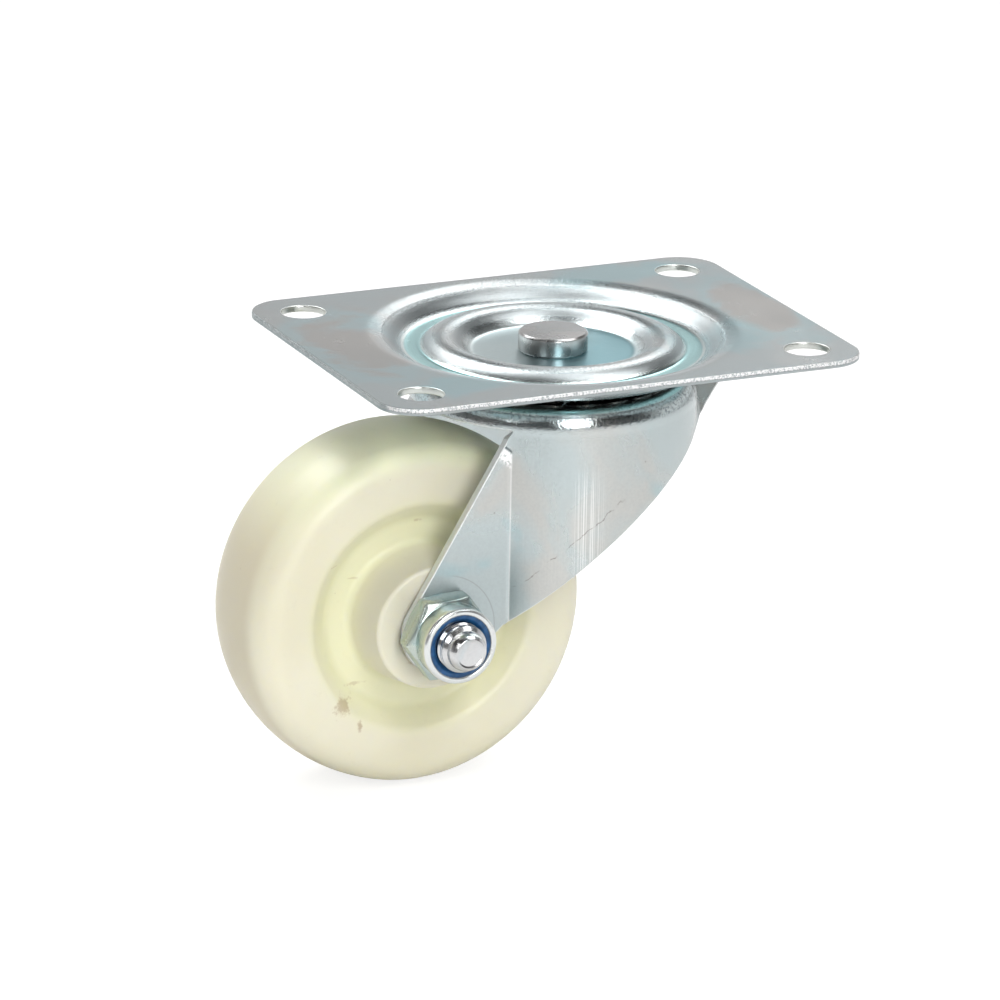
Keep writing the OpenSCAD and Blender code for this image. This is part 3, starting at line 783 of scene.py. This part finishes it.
def fork():
    s = Shape()
    # The crease runs down each side where a small hollow fillet leaves the round wall
    fil = 1.5
    fx = -math.sqrt((CROWN_R + fil) ** 2 - (LEG_Y + fil) ** 2)
    tx, ty = fx * CROWN_R / (CROWN_R + fil), (LEG_Y + fil) * CROWN_R / (CROWN_R + fil)
    crease = math.degrees(math.atan2(ty, tx))
    rear = [0.0, 0.8, 1.6, 2.6, 3.8, 5.2, 6.8]
    rear += list(np.arange(8.5, LIP_LAST, 1.5)) + [LIP_LAST]
    wall = list(np.linspace(LIP_LAST, crease, 62))[1:]
    front = list(np.linspace(crease, 180.0, 40))[1:-1]
    half = rear + wall + front
    angles = [-a for a in half[::-1] if a > 0] + half + [180.0]
    n_top, n_low = 22, 44
    upper, lower, low_phi = [], [], []
    for phi in angles:
        up, down = crown_path(phi)
        c, q = math.cos(math.radians(phi)), math.sin(math.radians(phi))
        up = resample(up, n_top)
        if abs(phi) > crease + 1e-6:
            up[-1][1] += CUT_ROUND
        upper.append([(r * c, r * q, z) for r, z in up])
        if abs(phi) <= crease + 1e-6:
            down = resample(down, n_low)
            lower.append([(r * c, r * q, z) for r, z in down])
            low_phi.append(phi)
    nu, nl = sheet_normals(upper, True), sheet_normals(lower, False)
    if nu[len(nu) // 2][-1][0] < 0:
        nu = -nu
    if nl[len(nl) // 2][2][0] < 0:
        nl = -nl
    up, lo = np.array(upper), np.array(lower)
    first = angles.index(low_phi[0])
    for k in range(len(low_phi)):
        both = nu[first + k][-1] + nl[k][0]
        both /= np.linalg.norm(both)
        nu[first + k][-1] = nl[k][0] = both
    up_in, lo_in = up - SHEET * nu, lo - SHEET * nl
    for face in (up, up_in):
        s.grid(face.tolist(), wrap=True)
    for face in (lo, lo_in):
        s.grid(face.tolist())
    # Cut edge of the wall and lip
    rows = []
    for o, n in zip(lo, nl):
        d = o[-1] - o[-2]
        rows.append(cut_edge(o[-1], o[-1] - SHEET * n[-1], n[-1], d / np.linalg.norm(d)))
    s.grid(rows, tag=1)
    # Cut edge of the short skirt over the wheel
    rows, last = [], first + len(low_phi) - 1
    for k in list(range(last, len(angles))) + list(range(0, first + 1)):
        o, n = up[k][-1], nu[k][-1]
        i = o - SHEET * n
        if k in (first, last):
            o, i = o - DOWN * CUT_ROUND, i - DOWN * CUT_ROUND
        rows.append(cut_edge(o, i, n, DOWN))
    s.grid(rows, tag=1)
    # Crown from the kingpin out to the rounded edge, inside the raceway
    start, end = (KING_R + 0.08, CROWN_Z), (CROWN_R - EDGE_R, CROWN_Z)
    ridge_a = math.degrees(math.asin(3.6 / 4.7))
    groove_a = math.degrees(math.asin(1.75 / 3.2))
    face = [start]
    face += arc(12.5, -11.5, 4.7, 180 - ridge_a, ridge_a, 16)
    face += arc(GROOVE_R, GROOVE_Z, 3.2, 180 + groove_a, 360 - groove_a, 18)
    face += [end]
    face = eased(face, 0.25, 0.3)
    face[0], face[-1] = start, end
    under = offset(face, SHEET)
    under[0], under[-1] = (start[0], CROWN_Z - SHEET), (end[0], CROWN_Z - SHEET)
    for path in (face, under, [face[0], under[0]]):
        s.grid([[about_z(r, z, math.radians(a)) for r, z in path] for a in angles], wrap=True)
    # Hollow fillet and flat leg on each side
    foot = front_foot()
    head = np.array(FRONT_TOP)

    def front_z(x):
        return head[1] + (x - head[0]) * (foot[1] - head[1]) / (foot[0] - head[0])

    a0 = math.atan2(-ty + LEG_Y + fil, tx - fx)
    for side in (-1, 1):
        rows, rows_in = [], []
        for k in range(9):
            a = a0 + (math.pi / 2 - a0) * k / 8
            px, py = fx + fil * math.cos(a), LEG_Y + fil - fil * math.sin(a)
            ix, iy = px + SHEET * math.cos(a), py - SHEET * math.sin(a)
            zs = np.linspace(SKIRT_Z if k == 0 else front_z(px), trim_z(px), n_low)
            rows.append([(px, side * py, z) for z in zs])
            rows_in.append([(ix, side * iy, z) for z in zs])
        s.grid(rows)
        s.grid(rows_in)
        edge = []
        for o, i in zip(rows, rows_in):
            o, i = np.array(o[-1]), np.array(i[-1])
            edge.append(cut_edge(o, i, (o - i) / np.linalg.norm(o - i), DOWN))
        s.grid(edge, tag=1)
        s.grid([[o[0], i[0]] for o, i in zip(rows, rows_in)], tag=1)
        leg(s, side, rows[-1][0][0], front_z, foot)
    make("fork_pressed", s, [fork_mat, edge_mat], "fork", "fork", weighted=True)


def leg(s, side, x0, front_z, foot):
    """Flat side plate of the fork from x0 forward, with its cut edge rounded."""
    b = CUT_ROUND
    c = np.array([END_X, END_Z])
    to = TRIM_C - c
    low = c + END_R * to / np.linalg.norm(to)
    a_up = math.atan2(foot[1] - c[1], foot[0] - c[0])
    a_lo = math.atan2(low[1] - c[1], low[0] - c[0]) + 2 * math.pi
    pts, nrm = [], []
    line = np.array([foot[0] - x0, foot[1] - front_z(x0)])
    ln = np.array([line[1], -line[0]]) / np.linalg.norm(line)
    if ln[0] > 0:
        ln = -ln
    for k in range(40):
        x = x0 + (foot[0] - x0) * k / 39
        pts.append((x, front_z(x)))
        nrm.append(ln)
    for k in range(1, 72):
        a = a_up + (a_lo - a_up) * k / 72
        pts.append(tuple(c + END_R * np.array([math.cos(a), math.sin(a)])))
        nrm.append(np.array([math.cos(a), math.sin(a)]))
    for k in range(41):
        x = low[0] + (x0 - low[0]) * k / 40
        q = np.array([x, trim_z(x)])
        pts.append(tuple(q))
        nrm.append((TRIM_C - q) / TRIM_R)
    stations = [(b, 0.0), (b * 0.3, b * 0.3), (0.0, b), (0.0, SHEET - b),
                (b * 0.3, SHEET - b * 0.3), (b, SHEET)]
    edge = []
    for p, n in zip(pts, nrm):
        row = []
        for inset, depth in stations:
            q = np.array(p) - inset * np.array(n)
            if abs(p[0] - x0) < 1e-6:
                q = np.array([x0, p[1] - inset * n[1]])
            row.append((q[0], side * (LEG_Y - depth), q[1]))
        edge.append(row)
    s.grid(edge, tag=1)
    out = [(r[0][0], r[0][2]) for r in edge]
    s.flat([out], 0.0, lambda q: (q[0], side * LEG_Y, q[1]))
    s.flat([out], 0.0, lambda q: (q[0], side * (LEG_Y - SHEET), q[1]))


# ---------------------------------------------------------------- wheel

def wheel():
    s = Shape()
    cx = WHEEL_R - TREAD_ARC
    ty = TREAD_HALF - SHOULDER
    tx = cx + math.sqrt((TREAD_ARC - SHOULDER) ** 2 - ty * ty)
    ta = math.degrees(math.asin(ty / (TREAD_ARC - SHOULDER)))
    web = TREAD_HALF - RECESS_D
    half = [(BORE_R, HUB_HALF - 0.5), (BORE_R + 0.5, HUB_HALF)]
    half += rounded([(BORE_R + 0.5, HUB_HALF), (BOSS_END, HUB_HALF, 0.9), (BOSS_FOOT, web, 1.8),
                     (RECESS_R - RECESS_SLOPE, web, 2.8), (RECESS_R, TREAD_HALF, 2.3),
                     (tx, TREAD_HALF)], step=9)[1:]
    half += arc(tx, ty, SHOULDER, 90, ta, 14)[1:]
    half += arc(cx, 0, TREAD_ARC, ta, 0, 12)[1:]
    path = [np.array(p[:2], float) for p in half]
    full = path + [np.array([p[0], -p[1]]) for p in path[-2::-1]]
    full += [np.array([BORE_R, -HUB_HALF + 0.5]), np.array([BORE_R, HUB_HALF - 0.5])]
    lathe(s, full, about_axle, turns=240)
    make("wheel_moulded", s, [wheel_mat], "wheel", "wheel", sharp=50)


# ---------------------------------------------------------------- axle bolt, nut and insert

def hexagon(s, base, height, chamfer_both, neck, lean=0.0):
    """A hexagon with turned chamfers and a neck on its end, along the axle."""
    rows = []
    lift, high = (1 if height > 0 else -1), abs(height)
    for i in range(HEX_TURNS):
        a = 2 * math.pi * i / HEX_TURNS
        w = ((a - math.radians(lean)) % (math.pi / 3)) - math.pi / 6
        r = FLATS / 2 / math.cos(w)
        drop = max(0.0, r - HEX_FACE) * math.tan(math.radians(30))
        pts = [(HEX_FACE, 0.0), (r, drop)] if chamfer_both else [(r - 0.15, 0.0), (r, 0.15)]
        pts += [(r, high - drop - 0.12), (r - 0.10, high - drop + 0.02), (HEX_FACE, high)]
        rows.append([about_axle(p[0], base + lift * p[1], a) for p in pts + neck])
    s.grid(rows, wrap=True)


def nut():
    s = Shape()
    r, h, mouth = COLLAR_R, NUT_H, OPEN_R + 0.45
    neck = [tuple(p) for p in rounded([
        (HEX_FACE, HEX_H), (r - 0.15, HEX_H, 0.2), (r - 0.1, HEX_H + 1.2, 0.3),
        (r, h - 1.6, 0.6), (r, h, 1.0), (mouth, h, 0.35), (mouth, h - 0.9)], step=15)[1:]]
    hexagon(s, LEG_Y, HEX_H, True, neck, lean=4.0)
    lathe(s, [(BOLT_R - 0.2, 0.05 + LEG_Y), (HEX_FACE, LEG_Y)], about_axle, turns=HEX_TURNS)
    make("lock_nut_zinc", s, [nut_mat], "fork", "lock_nut", sharp=40)


def insert():
    s = Shape()
    top, low = LEG_Y + NUT_H - 0.55, LEG_Y + HEX_H - 0.3
    bore = BOLT_R + 0.02
    path = rounded([(bore, low), (bore, top - 0.7, 0.2), (BOLT_R + 0.75, top, 0.4),
                    (INSERT_R, top, 0.1), (INSERT_R, low)], step=15)
    lathe(s, path, about_axle, turns=144, closed=True)
    make("nut_insert_blue", s, [blue_mat], "fork", "nut_insert")


def bolt():
    s = Shape()
    end = LEG_Y + NUT_H + STAND_OUT
    # The stepped and rounded end: radius, depth under the end, rounding
    steps = [(0.0, 0.5, 0), (2.55, 0.5, 0.4), (3.05, 0.3, 0.25), (3.65, 1.0, 0.3),
             (3.95, 1.7, 0.4), (4.05, 2.8, 0.3), (BOLT_R - 0.15, 3.5, 0.15),
             (BOLT_R - 0.12, 3.8, 0)]
    pts = rounded([(r, end - depth, fillet) for r, depth, fillet in steps])
    # The last turns of thread, read as shallow rings where they leave the nut
    z = end - 3.9
    while z > LEG_Y + NUT_H - 3.0:
        for inward, depth in ((0, 0), (0, 0.25), (0.55, 0.75), (0.55, 0.95)):
            pts.append(np.array([BOLT_R - inward, z - depth]))
        z -= THREAD_PITCH
    pts += [np.array([BOLT_R, z]), np.array([BOLT_R, -LEG_Y])]
    lathe(s, pts, about_axle, turns=144)
    flat, dish = FLATS / 2, HEAD_H - 0.28
    hexagon(s, -LEG_Y, -HEAD_H, False, [(flat - 1.2, HEAD_H), (flat - 2.2, dish), (0.0, dish)])
    make("axle_bolt_zinc", s, [bolt_mat], "fork", "axle_bolt", sharp=40)


plate()
kingpin()
fork()
wheel()
nut()
insert()
bolt()


# ---------------------------------------------------------------- camera

YAW, PITCH, ROLL = 24.4628, 18.1695, 1.0079
FOCAL_PX, FRAME_PX = 6538.0, 1000.0
SHIFT = np.array([10.7291, 34.1865, 1315.4436])


def camera():
    y, p, r = (math.radians(a) for a in (YAW, PITCH, ROLL))
    ahead = np.array([math.sin(y) * math.cos(p), math.cos(y) * math.cos(p), -math.sin(p)])
    right = np.array([math.cos(y), -math.sin(y), 0.0])
    up = np.cross(right, ahead)
    right, up = math.cos(r) * right + math.sin(r) * up, -math.sin(r) * right + math.cos(r) * up
    place = -(SHIFT[0] * right + SHIFT[1] * up + SHIFT[2] * ahead) * MM
    data = bpy.data.cameras.new("camera")
    data.sensor_width = 36.0
    data.lens = data.sensor_width * FOCAL_PX / FRAME_PX
    data.clip_start, data.clip_end = 0.05, 20.0
    cam = put_in_scene("camera", data)
    m = Matrix.Identity(4)
    for k in range(3):
        m[k][0], m[k][1], m[k][2], m[k][3] = right[k], up[k], -ahead[k], place[k]
    cam.matrix_world = m
    bpy.context.scene.camera = cam


camera()


# ---------------------------------------------------------------- studio

# Level directions in the studio: to the right of the view, and out to its front
RIGHT, FRONT = (0.910, -0.414), (-0.414, -0.910)
# Corners of the floor, to the right and to the front. It ends half a metre before the part
FLOOR = ((-0.36, 0.50), (0.55, 0.50), (1.6, -3.0), (-1.6, -3.0))


def spot(right, front, up):
    return (right * RIGHT[0] + front * FRONT[0], right * RIGHT[1] + front * FRONT[1], up)


def shader(tree, kind, name, value):
    n = tree.nodes.new(kind)
    n.inputs[name].default_value = value
    return n


def split(tree, seen, unseen, output):
    """Gives the camera's own rays one shader, and all other rays another."""
    pick = tree.nodes.new("ShaderNodeMixShader")
    path = tree.nodes.new("ShaderNodeLightPath")
    tree.links.new(path.outputs["Is Camera Ray"], pick.inputs[0])
    tree.links.new(unseen.outputs[0], pick.inputs[1])
    tree.links.new(seen.outputs[0], pick.inputs[2])
    tree.links.new(pick.outputs[0], tree.nodes.new(output).inputs[0])


def floor():
    z = (AXLE_Z - WHEEL_R) * MM
    mesh = bpy.data.meshes.new("floor")
    mesh.from_pydata([spot(right, front, z) for right, front in FLOOR], [], [(0, 1, 2, 3)])
    mat = bpy.data.materials.new("floor_white")
    mat.use_nodes = True
    t = mat.node_tree
    t.nodes.clear()
    # Seen itself, the floor glows white and still takes a soft shadow
    glow = shader(t, "ShaderNodeEmission", "Strength", 0.78)
    half = shader(t, "ShaderNodeBsdfDiffuse", "Color", rgb(0.36, 0.36, 0.36))
    pale = shader(t, "ShaderNodeBsdfDiffuse", "Color", rgb(0.90, 0.90, 0.90))
    both = t.nodes.new("ShaderNodeAddShader")
    t.links.new(glow.outputs[0], both.inputs[0])
    t.links.new(half.outputs[0], both.inputs[1])
    split(t, both, pale, "ShaderNodeOutputMaterial")
    mesh.materials.append(mat)
    put_in_scene("floor", mesh)


def world():
    """A bright backdrop behind the part, a dark room before it, and white where it is seen."""
    w = bpy.data.worlds.new("studio")
    bpy.context.scene.world = w
    w.use_nodes = True
    t = w.node_tree
    t.nodes.clear()
    n = Nodes("", t)
    x, y, z = n.axes(n.coord.outputs["Generated"])
    ahead = n.math("ADD", n.times(x, FRONT[0]), n.times(y, FRONT[1]))
    side = n.math("ADD", n.times(x, RIGHT[0]), n.times(y, RIGHT[1]))
    back = n.times(n.span(ahead, -0.20, 0.28, 0.66, 0.10), n.span(side, -0.45, -0.75, 1.0, 1.2),
                   n.span(z, 0.25, 0.10, 1.0, 1.35))
    # Two bright panels stand on the backdrop, seen only above the height of the plate's mirror
    turn = n.math("ARCTAN2", side, n.times(ahead, -1.0))
    right = n.span(n.between(turn, 0.0, 0.06, 0.36, 0.44), 0.0, 1.0, 0.16, 4.2)
    left = n.times(n.between(turn, -0.55, -0.46, -0.34, -0.28), 2.2)
    above = n.span(z, 0.35, 0.47)
    high = n.math("ADD", n.math("SUBTRACT", 1.0, above),
                  n.times(above, n.math("ADD", right, left)))
    roof = n.span(z, 0.90, 0.985, 0.0, 0.25)
    level = n.math("ADD", n.times(back, high), roof)
    soft = t.nodes.new("ShaderNodeBackground")
    n.link(n.join(level, level, level), soft.inputs["Color"])
    white = shader(t, "ShaderNodeBackground", "Color", rgb(1, 1, 1))
    split(t, white, soft, "ShaderNodeOutputWorld")


def lamp(name, place, width, height, power):
    data = bpy.data.lights.new(name, "AREA")
    data.energy = power
    data.shape = "RECTANGLE"
    data.size, data.size_y = width, height
    obj = put_in_scene(name, data)
    obj.location = place
    obj.rotation_euler = (LAMP_AIM - Vector(place)).to_track_quat("-Z", "Y").to_euler()


floor()
world()
LAMP_AIM = Vector((-0.01, 0.0, -0.03))
lamp("top_left", spot(-0.33, -0.30, 0.57), 0.40, 0.50, 3.0)
lamp("top_right", spot(0.30, 0.02, 0.60), 0.28, 0.45, 1.8)
lamp("front_left", spot(-0.50, 0.83, 0.46), 0.06, 0.50, 1.3)
lamp("front", spot(0.285, 0.86, 0.42), 0.24, 1.00, 7.6)

bpy.context.scene.view_settings.view_transform = "Standard"
